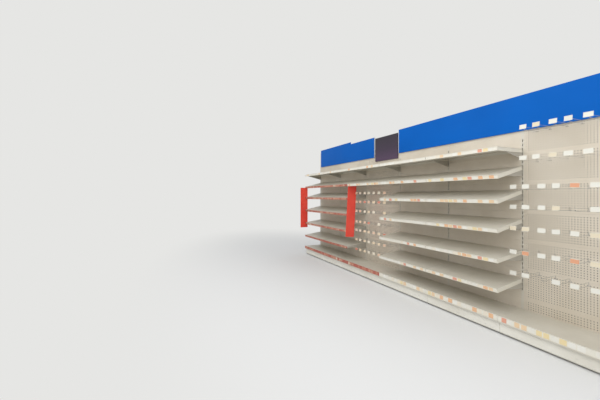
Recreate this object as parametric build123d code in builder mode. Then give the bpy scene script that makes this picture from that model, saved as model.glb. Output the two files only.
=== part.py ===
"""A run of shop wall shelving: slotted posts, sheet-steel shelves on tapered brackets,
perforated peg bays, red divider fins and a header band along the top.

The run lies along X with its front towards -Y and its feet on Z = 0. Bay 1 is at the +X end.
"""

import math
import os

from build123d import *

os.makedirs("parts", exist_ok=True)

# The bays from the near end: shelved to the top, hooks to the top, or two shelves over hooks
bay_kinds = ["hooks", "shelves", "shelves", "mixed", "shelves", "shelves"]

# Driving sizes, in millimetres and degrees
bay_pitch = 1000.0
touch = 0.3  # clearance between pieces that seat on each other
joint_gap = 3.0  # between neighbouring bays' decks and plinths

post_width = 30.0
post_depth = 60.0
post_wall = 2.0
post_top = 2400.0
slot_pitch = 50.0
slot_first = 450.0
slot_last = 2200.0
slot_width = 7.5
slot_height = 32.0

floor_gap = 20.0  # from the floor up to the posts, base legs and plinths
foot_radius = 20.0
foot_thickness = 8.0
foot_stud_radius = 5.0
leg_wall = 2.0
leg_boss = 30.0

shelf_depth = 470.0
shelf_height = 32.0
shelf_sheet = 1.2
stiffener_width = 60.0
stiffener_height = 18.0

# Each shelf row: height of its front edge above the floor, slope down towards the front
shelf_rows = [(508.0, 8.0), (839.0, 8.0), (1176.0, 12.0), (1505.0, 14.0), (1785.0, 14.0), (2099.0, 0.0)]

bracket_sheet = 2.0
bracket_offset = 1.0  # from the joint's centre line to the bracket's plate
bracket_back = 120.0
bracket_nose = 26.0
bracket_shoulder = 95.0
hook_tab = 12.0
hook_drop = 10.0
hook_thickness = 4.0

strip_height = 45.0
strip_lip = 5.0
strip_curl = 4.0
strip_sheet = 1.4
strip_rise = 3.0  # the strip stands this far above the shelf's deck
end_strip_setback = 10.0  # from the shelf's back edge to the strip along its open end

base_top = 215.0
base_lip = 71.0
base_return = 18.0
base_sheet = 1.5
base_strip_height = 60.0
plinth_setback = 40.0  # behind the shelves' fronts
plinth_top = 144.0
plinth_fold = 18.0

panel_height = 340.0
panel_fold = 15.0
panel_sheet = 1.0
panel_top = 2384.0
panel_seam = 0.8
panel_bottom = 150.0
hole_pitch = 25.0  # of the perforations that carry the hooks, across and up
hole_rows = 12  # in one back panel

tie_height = 40.0
tie_depth = 25.0

peg_wire = 5.0
peg_length = 250.0
peg_tip = 14.0
peg_clip = 30.0
peg_columns = [-18, -13, -7, -2, 4, 10, 16]  # in holes from the bay's centre line

# Hook rows of each kind of bay: height, and how many holes the row stands towards the near end
peg_rows = {
    "hooks": [(650.0, 0), (890.0, 0), (1155.0, 0), (1395.0, 0), (1620.0, 0), (1935.0, 4), (2275.0, 4)],
    "mixed": [(425.0, 0), (625.0, 0), (820.0, 0), (990.0, 0), (1205.0, 0), (1395.0, 0), (1570.0, 0)],
}

fin_thickness = 3.0
fin_reach = 206.0
fin_length = 1050.0
fin_corner = 12.0
near_fin_lean = 3.5  # its foot stands out towards the aisle
near_fin_overhang = 7.0  # at mid-height, in front of the shelves' fronts
far_fin_overhang = 132.0

header_bottom = 2317.0
header_top = 2737.0
header_middle_drop = 17.0  # the board just past the picture panel stands this much lower
header_far_rise = 28.0  # and the board at the far end this much higher
header_thickness = 18.0
header_far_overrun = 300.0  # of the middle board into the bay before it
header_middle_reach = 550.0  # of the same board into the bay after
header_far_inset = 50.0  # of the far board's end from the last joint
header_post_overlap = 150.0
header_post_setdown = 37.0  # below the near board's top
header_post_depth = 30.0
header_rail_height = 30.0
header_rail_depth = 20.0
header_trim = 8.0
picture_bottom = 2230.0
picture_top = 2690.0
picture_gap = 30.0

# Planes and lines that follow from the sizes
run_depth = post_depth + touch + shelf_depth + far_fin_overhang
wall_y = run_depth / 2
post_front = wall_y - post_depth
shelf_front = post_front - touch - shelf_depth
panel_front = post_front + panel_sheet
plinth_front = shelf_front + plinth_setback
bay_count = len(bay_kinds)
joints = [(bay_count / 2 - index) * bay_pitch for index in range(bay_count + 1)]
bay_centres = [x - bay_pitch / 2 for x in joints[:-1]]
tray_length = bay_pitch - 2 * (bracket_offset + bracket_sheet + touch)
leg_top = base_top - base_sheet
slot_heights = [
    slot_first + slot_pitch * index
    for index in range(int((slot_last - slot_first) // slot_pitch) + 1)
]
panel_count = int((panel_top - panel_bottom) // panel_height)
hole_heights = [
    panel_top - (index + 0.5) * panel_height - panel_seam / 2 + (row - (hole_rows - 1) / 2) * hole_pitch
    for index in range(panel_count)
    for row in range(hole_rows)
]

rows_of_kind = {"hooks": [], "mixed": shelf_rows[-2:], "shelves": shelf_rows}
mixed_near = joints[bay_kinds.index("mixed")]
mixed_far = mixed_near - bay_pitch
fin_top = shelf_rows[-2][0] - bracket_nose - touch
header_middle_top = header_top - header_middle_drop
header_far_top = header_top + header_far_rise


def heel(row):
    """How far a sloping tray's lower back edge leans behind its deck."""
    return shelf_height * math.sin(math.radians(row[1]))


def shelf_plane(row, x=0.0):
    """The deck of a shelf: origin at its back edge, local -Y runs down to the front."""
    front_height, slope = row
    tilt = math.radians(slope)
    back_height = front_height + shelf_depth * math.sin(tilt)
    return Plane(
        origin=(x, post_front - touch - heel(row), back_height),
        x_dir=(1, 0, 0),
        z_dir=(0, -math.sin(tilt), math.cos(tilt)),
    )


def side_plane(row, x):
    """The same shelf seen from its end: local X runs up to the back, local Y is square to the deck."""
    deck = shelf_plane(row, x)
    return Plane(origin=deck.origin, x_dir=deck.y_dir, z_dir=(1, 0, 0))


def write(part, name):
    part.label = name
    export_step(part, f"parts/{name}.step")


def build_post(x):
    """A slotted rectangular tube, open at its top, with a closed foot end."""
    centre_y = wall_y - post_depth / 2
    with BuildPart() as post:
        with BuildSketch(Plane.XY.offset(floor_gap)):
            with Locations((x, centre_y)):
                Rectangle(post_width, post_depth)
        extrude(amount=post_top - floor_gap)
        with BuildSketch(Plane.XY.offset(floor_gap + post_wall)):
            with Locations((x, centre_y)):
                Rectangle(post_width - 2 * post_wall, post_depth - 2 * post_wall)
        extrude(amount=post_top, mode=Mode.SUBTRACT)
        with BuildSketch(Plane.XZ.offset(-post_front)):
            with Locations(*[(x, height) for height in slot_heights]):
                Rectangle(slot_width, slot_height)
        extrude(amount=-post_wall * 1.5, mode=Mode.SUBTRACT)
    return post.part


def build_base_leg(x):
    """A pressed channel, open below behind the solid boss that its front foot bears on."""
    front = plinth_front + plinth_fold + touch
    length = post_front - front
    bottom = Plane(origin=(x, front, floor_gap), x_dir=(0, 1, 0), z_dir=(0, 0, 1))
    with BuildPart() as leg:
        with BuildSketch(bottom):
            Rectangle(length, post_width, align=(Align.MIN, Align.CENTER))
        extrude(amount=leg_top - floor_gap)
        with BuildSketch(bottom):
            with Locations((leg_boss, 0)):
                Rectangle(
                    length - leg_boss - leg_wall,
                    post_width - 2 * leg_wall,
                    align=(Align.MIN, Align.CENTER),
                )
        extrude(amount=leg_top - floor_gap - leg_wall, mode=Mode.SUBTRACT)
        nose = leg.edges().filter_by(Axis.X).group_by(Axis.Y)[0].sort_by(Axis.Z)[-1]
        chamfer(nose, leg_wall * 3)
    return leg.part


def build_foot(x, y):
    """A hexagonal levelling pad with its stud up to the leg above."""
    with BuildPart() as foot:
        with BuildSketch():
            with Locations((x, y)):
                RegularPolygon(foot_radius, 6)
        extrude(amount=foot_thickness)
        with BuildSketch(Plane.XY.offset(foot_thickness)):
            with Locations((x, y)):
                RegularPolygon(foot_stud_radius, 6)
        extrude(amount=floor_gap - foot_thickness)
    return foot.part


def build_folded_panel(x, bottom, height):
    """One back panel: a shallow sheet tray, open towards the wall, between two posts."""
    width = bay_pitch - post_width - 2 * touch
    front = Plane.XZ.offset(-panel_front)
    with BuildPart() as panel:
        with BuildSketch(front):
            with Locations((x, bottom + height / 2)):
                Rectangle(width, height)
        extrude(amount=-panel_fold)
        with BuildSketch(front.offset(-panel_sheet)):
            with Locations((x, bottom + height / 2)):
                Rectangle(width - 2 * panel_sheet, height - 2 * panel_sheet)
        extrude(amount=-panel_fold, mode=Mode.SUBTRACT)
    return panel.part


def build_shelf(row, x):
    """A folded tray with its deck up and two turned-down ribs under it from end to end."""
    deck = shelf_plane(row, x)
    with BuildPart() as shelf:
        with BuildSketch(deck):
            Rectangle(tray_length, shelf_depth, align=(Align.CENTER, Align.MAX))
        extrude(amount=-shelf_height)
        with BuildSketch(deck.offset(-shelf_sheet)):
            with Locations((0, -shelf_depth / 2)):
                Rectangle(tray_length - 2 * shelf_sheet, shelf_depth - 2 * shelf_sheet)
        extrude(amount=-shelf_height, mode=Mode.SUBTRACT)
        with BuildSketch(deck.offset(-shelf_sheet)):
            with Locations((0, -shelf_depth / 2)):
                Rectangle(tray_length - 2 * shelf_sheet, stiffener_width)
                Rectangle(
                    tray_length - 2 * shelf_sheet,
                    stiffener_width - 2 * shelf_sheet,
                    mode=Mode.SUBTRACT,
                )
        extrude(amount=-stiffener_height)
    return shelf.part


def build_bracket(row, x_low):
    """A tapered plate whose hooks drop behind the post's slotted wall."""
    deck = shelf_plane(row)
    along = deck.y_dir
    square = deck.z_dir
    back = post_front - touch
    front_top = deck.origin - along * shelf_depth
    front_low = front_top - square * bracket_nose
    shoulder = front_top + along * bracket_shoulder - square * shelf_height
    top = deck.origin.Z - heel(row) * math.sin(math.radians(row[1]))
    low = top - bracket_back
    with BuildPart() as bracket:
        with BuildSketch(Plane.YZ.offset(x_low)):
            with BuildLine():
                Polyline(
                    (back, top),
                    (front_top.Y, front_top.Z),
                    (front_low.Y, front_low.Z),
                    (shoulder.Y, shoulder.Z),
                    (back, low),
                    close=True,
                )
            make_face()
            for height in slot_heights:
                seat = height - slot_height / 2 + touch
                if low < seat - hook_drop and seat + hook_tab < top:
                    with Locations((back, seat)):
                        Rectangle(
                            2 * touch + post_wall + hook_thickness,
                            hook_tab,
                            align=(Align.MIN, Align.MIN),
                        )
                    with Locations((back + 2 * touch + post_wall, seat)):
                        Rectangle(hook_thickness, hook_drop, align=(Align.MIN, Align.MAX))
        extrude(amount=bracket_sheet)
    return bracket.part


def build_ticket_strip(plane, height, length):
    """A ticket channel: a thin back, a lip curled over its top and a wedge-shaped lip below."""
    with BuildPart() as strip:
        with BuildSketch(plane):
            with BuildLine():
                Polyline(
                    (0, 0),
                    (-strip_lip, 0),
                    (-strip_lip, -strip_curl),
                    (-strip_lip + strip_sheet, -strip_curl),
                    (-strip_lip + strip_sheet, -strip_sheet),
                    (-strip_sheet, -strip_sheet),
                    (-strip_sheet, -height + strip_sheet),
                    (-strip_lip, -height + strip_curl),
                    (-strip_lip, -height),
                    (0, -height),
                    close=True,
                )
            make_face()
        extrude(amount=length)
    return strip.part


def build_shelf_strip(row, x):
    side = side_plane(row, x - tray_length / 2)
    start = side.origin + side.x_dir * -(shelf_depth + touch) + side.y_dir * strip_rise
    return build_ticket_strip(Plane(start, x_dir=side.x_dir, z_dir=side.z_dir), strip_height, tray_length)


def build_end_strip(row, joint, outward):
    """A ticket channel along a shelf's open end, seated on the bracket's outer face.

    Outward is 1 where the end looks towards the near end of the run, or -1.
    """
    deck = shelf_plane(row, joint + outward * (touch - bracket_offset))
    along = deck.y_dir
    reach = shelf_depth + touch + strip_lip
    begin = reach if outward > 0 else end_strip_setback
    side = Plane(
        origin=deck.origin - along * begin + deck.z_dir * strip_rise,
        x_dir=(-outward, 0, 0),
        z_dir=along * outward,
    )
    return build_ticket_strip(side, strip_height, reach - end_strip_setback)


def build_base_strip(x):
    length = bay_pitch - joint_gap
    start = (x - length / 2, shelf_front - touch, base_top + strip_rise)
    return build_ticket_strip(Plane(start, x_dir=(0, 1, 0), z_dir=(1, 0, 0)), base_strip_height, length)


def build_base_deck(x):
    """The bottom shelf: one sheet with a deep front lip and a short return under it."""
    length = bay_pitch - joint_gap
    back = post_front - touch
    profile = [
        (back, base_top),
        (shelf_front, base_top),
        (shelf_front, base_top - base_lip),
        (shelf_front + base_return, base_top - base_lip),
        (shelf_front + base_return, base_top - base_lip + base_sheet),
        (shelf_front + base_sheet, base_top - base_lip + base_sheet),
        (shelf_front + base_sheet, base_top - base_sheet),
        (back, base_top - base_sheet),
    ]
    with BuildPart() as deck:
        with BuildSketch(Plane.YZ.offset(x - length / 2)):
            with BuildLine():
                Polyline(*profile, close=True)
            make_face()
        extrude(amount=length)
    return deck.part


def build_plinth(x):
    """A kick plate folded back on all four sides, open behind."""
    length = bay_pitch - joint_gap
    height = plinth_top - floor_gap
    front = Plane.XZ.offset(-plinth_front)
    with BuildPart() as plinth:
        with BuildSketch(front):
            with Locations((x, floor_gap + height / 2)):
                Rectangle(length, height)
        extrude(amount=-plinth_fold)
        with BuildSketch(front.offset(-base_sheet)):
            with Locations((x, floor_gap + height / 2)):
                Rectangle(length - 2 * base_sheet, height - 2 * base_sheet)
        extrude(amount=-plinth_fold, mode=Mode.SUBTRACT)
    return plinth.part


def build_peg(x, height):
    """A single prong with an upturned tip on a clip that bears on the back panel."""
    back = panel_front - touch
    tip = peg_tip / math.sqrt(2)
    profile = [
        (back, height + peg_clip),
        (back - peg_wire / 2, height + peg_wire),
        (back - peg_length + peg_wire / 2, height + peg_wire),
        (back - peg_length - tip, height + peg_wire + tip),
        (back - peg_length, height),
        (back, height),
    ]
    with BuildPart() as peg:
        with BuildSketch(Plane.YZ.offset(x - peg_wire / 2)):
            with BuildLine():
                Polyline(*profile, close=True)
            make_face()
        extrude(amount=peg_wire)
    return peg.part


def build_fin(x_low, overhang, lean):
    """A tall divider plate with rounded corners that hangs from just under a row of shelves."""
    tilt = math.radians(lean)
    half_height = (fin_length * math.cos(tilt) + fin_reach * math.sin(tilt)) / 2
    middle = (shelf_front - overhang + fin_reach / 2, fin_top - half_height)
    with BuildPart() as fin:
        with BuildSketch(Plane.YZ.offset(x_low)):
            with Locations(middle):
                RectangleRounded(fin_reach, fin_length, fin_corner, rotation=-lean)
        extrude(amount=fin_thickness)
    return fin.part


def build_board(x_low, x_high, bottom, top):
    with BuildPart() as board:
        with BuildSketch(Plane.XZ.offset(-(post_front - touch))):
            with Locations(((x_low + x_high) / 2, (bottom + top) / 2)):
                Rectangle(x_high - x_low, top - bottom)
        extrude(amount=header_thickness)
    return board.part


def build_tube(x, y, z, size_x, size_y, size_z):
    with BuildPart() as tube:
        with BuildSketch(Plane.XY.offset(z)):
            with Locations((x, y)):
                Rectangle(size_x, size_y)
        extrude(amount=size_z)
    return tube.part


def gather(pieces, name):
    with BuildPart() as group:
        add(pieces)
    write(group.part, name)


# Posts, base legs and feet
for number, x in enumerate(joints, start=1):
    write(build_post(x), f"post_{number}")

leg_front = plinth_front + plinth_fold + touch
gather([build_base_leg(x) for x in joints], "base_legs")
foot_lines = [leg_front + leg_boss / 2, wall_y - post_depth / 2]
gather([build_foot(x, y) for x in joints for y in foot_lines], "levelling_feet")

# Back panels, stacked down from the top with a lower infill panel
infill_top = panel_top - panel_count * panel_height - panel_seam
for number, x in enumerate(bay_centres, start=1):
    panels = [
        build_folded_panel(x, panel_top - (index + 1) * panel_height, panel_height - panel_seam)
        for index in range(panel_count)
    ]
    panels.append(build_folded_panel(x, panel_bottom, infill_top - panel_bottom))
    gather(panels, f"back_panels_bay_{number}")

tie_length = bay_pitch - post_width - 2 * touch
tie_y = panel_front + panel_fold + touch + tie_depth / 2
tie_levels = [panel_bottom, panel_top - tie_height]
gather(
    [
        build_tube(x, tie_y, level, tie_length, tie_depth, tie_height)
        for x in bay_centres
        for level in tie_levels
    ],
    "tie_beams",
)

# Base
gather([build_base_deck(x) for x in bay_centres], "base_decks")
gather([build_plinth(x) for x in bay_centres], "plinth_panels")


# Shelves, brackets and ticket strips, bay by bay
for bay, x in enumerate(bay_centres, start=1):
    rows = rows_of_kind[bay_kinds[bay - 1]]
    strips = [build_base_strip(x)]
    if rows:
        gather([build_shelf(row, x) for row in rows], f"shelves_bay_{bay}")
        low_side = x - bay_pitch / 2 + bracket_offset
        high_side = x + bay_pitch / 2 - bracket_offset - bracket_sheet
        brackets = [build_bracket(row, side) for row in rows for side in (low_side, high_side)]
        gather(brackets, f"shelf_brackets_bay_{bay}")
        strips += [build_shelf_strip(row, x) for row in rows]
    gather(strips, f"ticket_strips_bay_{bay}")

# Strips along the shelves' open ends; a fin covers those past the mixed bay
end_strips = []
for near_kind, far_kind, x in zip(bay_kinds, bay_kinds[1:], joints[1:]):
    near_rows, far_rows = rows_of_kind[near_kind], rows_of_kind[far_kind]
    end_strips += [build_end_strip(row, x, -1) for row in near_rows if row not in far_rows]
    if x != mixed_far:
        end_strips += [build_end_strip(row, x, 1) for row in far_rows if row not in near_rows]
gather(end_strips, "shelf_end_strips")

# Peg hooks, each in the nearest row of holes
hole_reach = (bay_pitch - post_width) / 2 - hole_pitch
for kind, rows in peg_rows.items():
    bay = bay_kinds.index(kind) + 1
    pegs = []
    for wished, shift in rows:
        height = min(hole_heights, key=lambda level: abs(level - wished))
        offsets = [(column + shift) * hole_pitch for column in peg_columns]
        inside = [offset for offset in offsets if abs(offset) < hole_reach]
        pegs += [build_peg(bay_centres[bay - 1] + offset, height) for offset in inside]
    gather(pegs, f"peg_hooks_bay_{bay}")

# Divider fins: one on the hook side of the joint after the mixed bay, one on the run's far end
near_fin_x = mixed_far - bracket_offset + touch
far_fin_x = joints[-1] + bracket_offset - touch - fin_thickness
write(build_fin(near_fin_x, near_fin_overhang, near_fin_lean), "divider_fin_near")
write(build_fin(far_fin_x, far_fin_overhang, 0.0), "divider_fin_far")

# Header band
header_post_width = post_width - 2 * post_wall - 2 * touch
header_post_y = post_front + post_wall + touch + header_post_depth / 2
header_post_bottom = post_top - header_post_overlap
header_posts = [
    build_tube(
        x,
        header_post_y,
        header_post_bottom,
        header_post_width,
        header_post_depth,
        header_top - header_post_setdown - header_post_bottom,
    )
    for x in joints
]
gather(header_posts, "header_posts")

near_end = joints[0] + post_width / 2
near_stop = mixed_near - post_width / 2
far_start = mixed_far + header_far_overrun
board_joint = mixed_far - header_middle_reach
far_end = joints[-1] + header_far_inset
write(build_board(near_stop, near_end, header_bottom, header_top), "header_board_near")
far_boards = [
    build_board(board_joint, far_start, header_bottom, header_middle_top),
    build_board(far_end, board_joint - touch, header_bottom, header_far_top),
]
gather(far_boards, "header_board_far")
picture_low = far_start + picture_gap
picture_high = near_stop - picture_gap
write(build_board(picture_low, picture_high, picture_bottom, picture_top), "header_picture_panel")
trims = [
    build_board(near_stop - header_trim - touch, near_stop - touch, header_bottom, header_top),
    build_board(far_start + touch, far_start + touch + header_trim, header_bottom, header_middle_top),
]
gather(trims, "header_end_trims")

rail_y = post_front + header_rail_depth / 2
rail_length = bay_pitch - header_post_width - 2 * touch
rail_bottom = post_top + header_rail_height
rails = [
    build_tube(x, rail_y, rail_bottom, rail_length, header_rail_depth, header_rail_height)
    for x in bay_centres
]
gather(rails, "header_rails")
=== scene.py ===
"""The looks of a run of shop wall shelving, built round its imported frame."""

import math

import bmesh
import bpy
from mathutils import Matrix, Vector


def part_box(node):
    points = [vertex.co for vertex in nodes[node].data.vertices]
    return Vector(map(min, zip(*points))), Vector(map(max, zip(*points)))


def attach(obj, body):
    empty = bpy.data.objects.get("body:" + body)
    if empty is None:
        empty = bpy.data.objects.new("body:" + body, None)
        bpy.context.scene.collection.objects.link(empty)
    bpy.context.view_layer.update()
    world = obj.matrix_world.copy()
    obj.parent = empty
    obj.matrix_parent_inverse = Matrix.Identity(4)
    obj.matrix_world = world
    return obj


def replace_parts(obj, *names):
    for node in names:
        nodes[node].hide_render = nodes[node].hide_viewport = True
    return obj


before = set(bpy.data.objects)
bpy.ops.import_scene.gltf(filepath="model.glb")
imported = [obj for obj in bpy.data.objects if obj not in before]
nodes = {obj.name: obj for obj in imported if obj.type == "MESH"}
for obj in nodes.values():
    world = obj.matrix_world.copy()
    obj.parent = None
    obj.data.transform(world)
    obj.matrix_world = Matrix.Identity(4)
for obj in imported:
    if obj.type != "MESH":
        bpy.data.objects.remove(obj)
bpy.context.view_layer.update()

# Places read from the frame, in metres
posts = [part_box(f"post_{number}") for number in range(1, 8)]
joints = [(low.x + high.x) / 2 for low, high in posts]
bay_pitch = joints[0] - joints[1]
bay_centres = [x - bay_pitch / 2 for x in joints[:-1]]
post_width = posts[0][1].x - posts[0][0].x
post_front = posts[0][0].y
wall_y = posts[0][1].y
panel_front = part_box("back_panels_bay_1")[0].y
feet_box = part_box("levelling_feet")
pad_radius = feet_box[1].x - joints[0]
pad_flat = pad_radius * math.cos(math.pi / 6)

# Sizes that the pieces added here share with the frame, in metres and degrees
mm = 0.001
# Each shelf row's front height, and its slope
shelf_rows = [(0.508, 8), (0.839, 8), (1.176, 12), (1.505, 14), (1.785, 14), (2.099, 0)]
shelf_depth = 0.470
shelf_height = 0.032
touch = 0.0003
strip_height = 0.045
strip_sheet = 0.0014
strip_lip = 0.005
strip_rise = 0.003
base_top = 0.215
base_strip_height = 0.060
shelf_front = post_front - touch - shelf_depth
panel_height = 0.340
panel_seam = 0.0008
panel_fold = 0.015
panel_sheet = 0.001
tie_height = 0.040
hole_pitch = 0.025
# The hooks' columns, in holes from the bay's centre line
hook_columns = [-18, -13, -7, -2, 4, 10, 16]
# The hooks' rows in each hook bay: a height, and how many holes the row stands aside
hook_rows = {
    1: [(0.6511, 0), (0.8911, 0), (1.1561, 0), (1.3961, 0), (1.6211, 0), (1.9361, 4), (2.2761, 4)],
    4: [(0.4261, 0), (0.6261, 0), (0.8161, 0), (0.9911, 0), (1.2061, 0), (1.3961, 0), (1.5711, 0)],
}
rows_of_bay = {1: [], 2: shelf_rows, 3: shelf_rows, 4: shelf_rows[-2:], 5: shelf_rows, 6: shelf_rows}


def linear(code):
    """An sRGB hex colour as linear RGBA."""
    parts = [int(code[at : at + 2], 16) / 255 for at in (1, 3, 5)]
    return (*[c / 12.92 if c <= 0.04045 else ((c + 0.055) / 1.055) ** 2.4 for c in parts], 1.0)


def put(tree, kind, settings=None, feeds=None):
    """Adds a node with its settings and what feeds its inputs: a value, a socket or a node."""
    node = tree.nodes.new(kind)
    for key, value in (settings or {}).items():
        if key == "stops":
            ramp = node.color_ramp
            while len(ramp.elements) < len(value):
                ramp.elements.new(1.0)
            for element, (place, colour) in zip(ramp.elements, value):
                element.position = place
                element.color = linear(colour)
        elif key == "interpolation":
            node.color_ramp.interpolation = value
        else:
            setattr(node, key, value)
    for key, value in (feeds or {}).items():
        if isinstance(value, bpy.types.Node):
            tree.links.new(value.outputs[0], node.inputs[key])
        elif isinstance(value, bpy.types.NodeSocket):
            tree.links.new(value, node.inputs[key])
        else:
            node.inputs[key].default_value = value
    return node


# Places of the colour sockets on a Mix node that is set to colours
FACTOR, FIRST, SECOND, MIXED = 0, 6, 7, 2

# Sizes of the patterns: how far apart their spots or lines stand
yellow_cloud = 588 * mm
dust_cloud = 111 * mm
sheen_cloud = 333 * mm
rub_length = 71.4 * mm
rub_height = 20.8 * mm
card_fibre = 3.85 * mm
fin_cloud = 400 * mm
fin_rub = 71.4 * mm
paint_cloud = 909 * mm
zinc_cloud = 22.2 * mm
zinc_sheen = 33.3 * mm


def start_material(name, **constants):
    """A material with one surface shader whose plain sockets are set by name."""
    material = bpy.data.materials.new(name)
    material.use_nodes = True
    tree = material.node_tree
    tree.nodes.clear()
    shader = put(tree, "ShaderNodeBsdfPrincipled")
    for key, value in constants.items():
        shader.inputs[key.replace("_", " ")].default_value = value
    put(tree, "ShaderNodeOutputMaterial", None, {"Surface": shader})
    place = put(tree, "ShaderNodeTexCoord").outputs["Object"]
    return material, tree, shader, place


def roughen(tree, shader, place, grain, depth, low, high, cloud=sheen_cloud, edge=0.0):
    """Fine grain as bump, a roughness that drifts between two values, and edges that are a little round.

    The real grains stand under 1 mm apart, too fine to show, so they are drawn 2 to 6 mm apart.
    """
    fine = put(
        tree,
        "ShaderNodeTexNoise",
        None,
        {"Vector": place, "Scale": 1 / grain, "Detail": 2.0, "Roughness": 0.5},
    )
    bump = put(tree, "ShaderNodeBump", None, {"Height": fine, "Strength": 0.35, "Distance": depth})
    if edge:
        soft = put(tree, "ShaderNodeBevel", {"samples": 4}, {"Radius": edge})
        tree.links.new(soft.outputs[0], bump.inputs["Normal"])
    tree.links.new(bump.outputs[0], shader.inputs["Normal"])
    drift = put(tree, "ShaderNodeTexNoise", None, {"Vector": place, "Scale": 1 / cloud, "Detail": 4.0})
    spread = put(
        tree,
        "ShaderNodeMapRange",
        None,
        {"Value": drift, "From Min": 0.3, "From Max": 0.7, "To Min": low, "To Max": high},
    )
    tree.links.new(spread.outputs[0], shader.inputs["Roughness"])


def powder_coat(name, colour, shade, dust="#B3AD9C", scuffed=False, edge=1.5 * mm):
    """Sheet steel under a baked polyester powder coat, a semi-matt cream with fine orange peel.

    It yellows in soft clouds, takes dust on level faces and, low down, shoe marks. An edge of 0 leaves out
    the rounded edges and the peel, on sheets full of small holes.
    """
    material, tree, shader, place = start_material(name, Metallic=0.0, IOR=1.5)
    cloud = put(
        tree,
        "ShaderNodeTexNoise",
        None,
        {"Vector": place, "Scale": 1 / yellow_cloud, "Detail": 5.0, "Roughness": 0.6},
    )
    tone = put(tree, "ShaderNodeValToRGB", {"stops": [(0.35, shade), (0.62, colour)]}, {"Fac": cloud})
    normal = put(tree, "ShaderNodeNewGeometry").outputs["Normal"]
    facing = put(tree, "ShaderNodeSeparateXYZ", None, {0: normal})
    level = put(
        tree,
        "ShaderNodeMapRange",
        None,
        {"Value": facing.outputs["Z"], "From Min": 0.8, "From Max": 1.0, "To Max": 0.5},
    )
    film = put(
        tree,
        "ShaderNodeTexNoise",
        None,
        {"Vector": place, "Scale": 1 / dust_cloud, "Detail": 6.0, "Roughness": 0.7},
    )
    settled = put(tree, "ShaderNodeMath", {"operation": "MULTIPLY"}, {0: level, 1: film})
    surface = put(
        tree,
        "ShaderNodeMix",
        {"data_type": "RGBA"},
        {FACTOR: settled, FIRST: tone, SECOND: linear(dust)},
    ).outputs[MIXED]
    if scuffed:
        surface = shoe_marks(tree, place, surface)
    tree.links.new(surface, shader.inputs["Base Color"])
    peel_depth = 0.3 * mm if edge else 0.0
    roughen(tree, shader, place, grain=3 * mm, depth=peel_depth, low=0.38, high=0.5, edge=edge)
    return material


def shoe_marks(tree, place, surface):
    """Grey rubs near the floor, long and low, and a grey band that darkens the bottom edge."""
    height = put(tree, "ShaderNodeSeparateXYZ", None, {0: place}).outputs["Z"]
    near_floor = put(
        tree,
        "ShaderNodeMapRange",
        None,
        {"Value": height, "From Min": 0.02, "From Max": 0.12, "To Min": 0.8, "To Max": 0.0},
    )
    long_and_low = (1 / rub_length, 1.0, 1 / rub_height)
    stretched = put(tree, "ShaderNodeMapping", None, {"Vector": place, "Scale": long_and_low})
    rubs = put(
        tree,
        "ShaderNodeTexNoise",
        None,
        {"Vector": stretched, "Scale": 1.0, "Detail": 2.0, "Roughness": 0.4},
    )
    strong = put(
        tree,
        "ShaderNodeMapRange",
        None,
        {"Value": rubs, "From Min": 0.6, "From Max": 0.78, "To Min": 0.0, "To Max": 0.6},
    )
    amount = put(tree, "ShaderNodeMath", {"operation": "MULTIPLY"}, {0: near_floor, 1: strong})
    # A grey band that darkens the plinth towards its bottom edge
    edge = put(
        tree,
        "ShaderNodeMapRange",
        None,
        {"Value": height, "From Min": 0.02, "From Max": 0.034, "To Min": 0.45, "To Max": 0.0},
    )
    both = put(tree, "ShaderNodeMath", {"operation": "MAXIMUM"}, {0: amount, 1: edge})
    return put(
        tree,
        "ShaderNodeMix",
        {"data_type": "RGBA"},
        {FACTOR: both, FIRST: surface, SECOND: linear("#6E6A60")},
    ).outputs[MIXED]


cream_strip = [(0.3, "#DAD5C6"), (0.6, "#E4E0D3")]
red_strip = [(0.3, "#A24C3D"), (0.6, "#B5604D")]


def strip_pvc(name, low_strips, change=0.0):
    """Extruded rigid PVC: a satin sheen with faint draw lines along its length, yellowed in places.

    Strips below the height of change have the first colour, and those above it are cream. Real draw lines
    stand some tenths of a millimetre apart, so these are drawn coarser, to show.
    """
    material, tree, shader, place = start_material(name, Metallic=0.0, IOR=1.53)
    line_length, line_depth, line_gap = 667 * mm, 16.7 * mm, 2.38 * mm
    line_scale = (1 / line_length, 1 / line_depth, 1 / line_gap)
    along = put(tree, "ShaderNodeMapping", None, {"Vector": place, "Scale": line_scale})
    lines = put(tree, "ShaderNodeTexNoise", None, {"Vector": along, "Scale": 1.0, "Detail": 3.0})
    low_tone, high_tone = [
        put(tree, "ShaderNodeValToRGB", {"stops": stops}, {"Fac": lines})
        for stops in (low_strips, cream_strip)
    ]
    height = put(tree, "ShaderNodeSeparateXYZ", None, {0: place}).outputs["Z"]
    above = put(tree, "ShaderNodeMath", {"operation": "GREATER_THAN"}, {0: height, 1: change})
    tone = put(
        tree,
        "ShaderNodeMix",
        {"data_type": "RGBA"},
        {FACTOR: above, FIRST: low_tone, SECOND: high_tone},
    ).outputs[MIXED]
    tree.links.new(tone, shader.inputs["Base Color"])
    roughen(tree, shader, place, grain=4 * mm, depth=0.1 * mm, low=0.28, high=0.4)
    return material


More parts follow.
